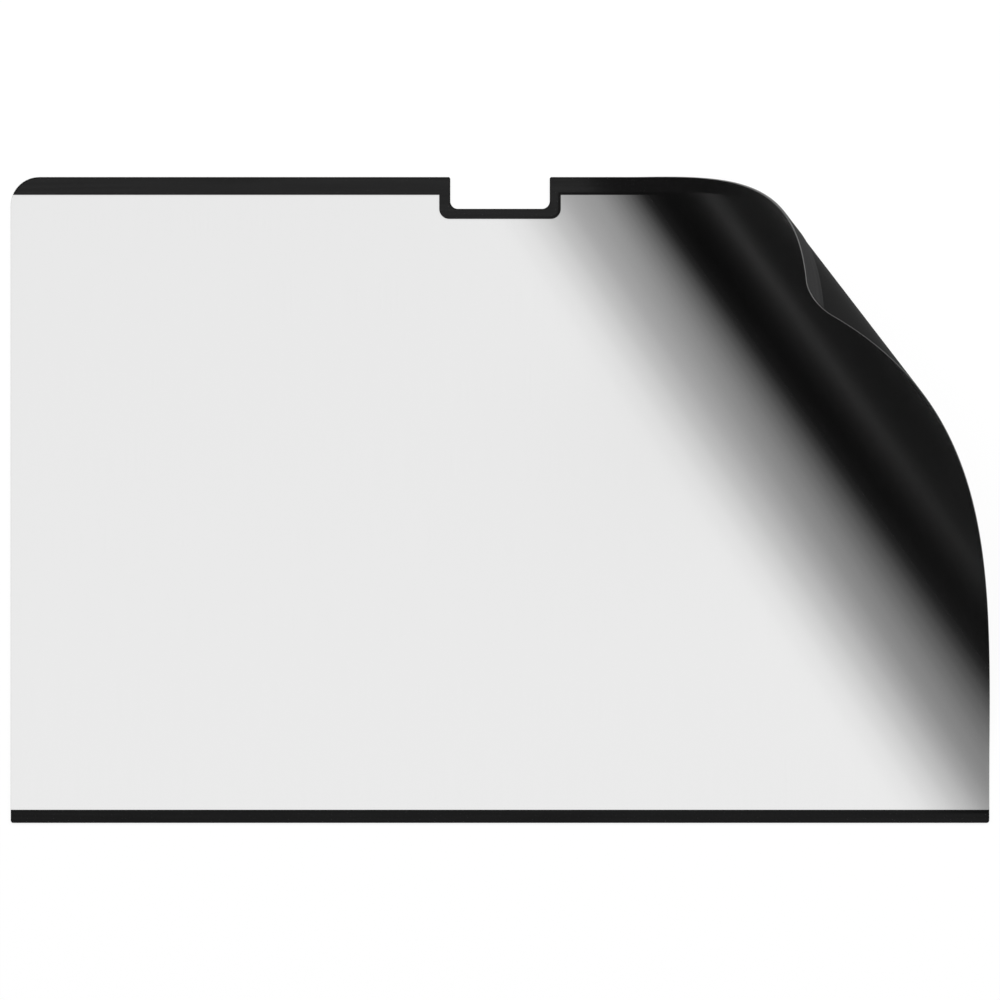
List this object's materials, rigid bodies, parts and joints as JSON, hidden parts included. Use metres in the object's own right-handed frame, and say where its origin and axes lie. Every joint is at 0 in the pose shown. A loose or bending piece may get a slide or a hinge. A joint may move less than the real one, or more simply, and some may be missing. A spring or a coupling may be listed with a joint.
{
  "type": "laptop privacy filter",
  "caption": "Thin see-through filter sheet for a laptop display, with a camera notch and black magnet strips along its top and bottom edges, lying flat with a corner curled up.",
  "frame": {"origin": "centre of the flat sheet, on the surface that the strips lie on", "axes": "+X to the right and +Y towards the notched top edge as the user sees the face, +Z out of the face"},
  "size_m": [0.305, 0.2013, 0.0738],
  "materials": {
    "film": "satin see-through film",
    "magnet_strip": "matt black"
  },
  "bodies": {
    "root": {"privacy_film": "film", "top_magnet_strip": "magnet_strip", "bottom_magnet_strip": "magnet_strip"}
  },
  "joints": []
}
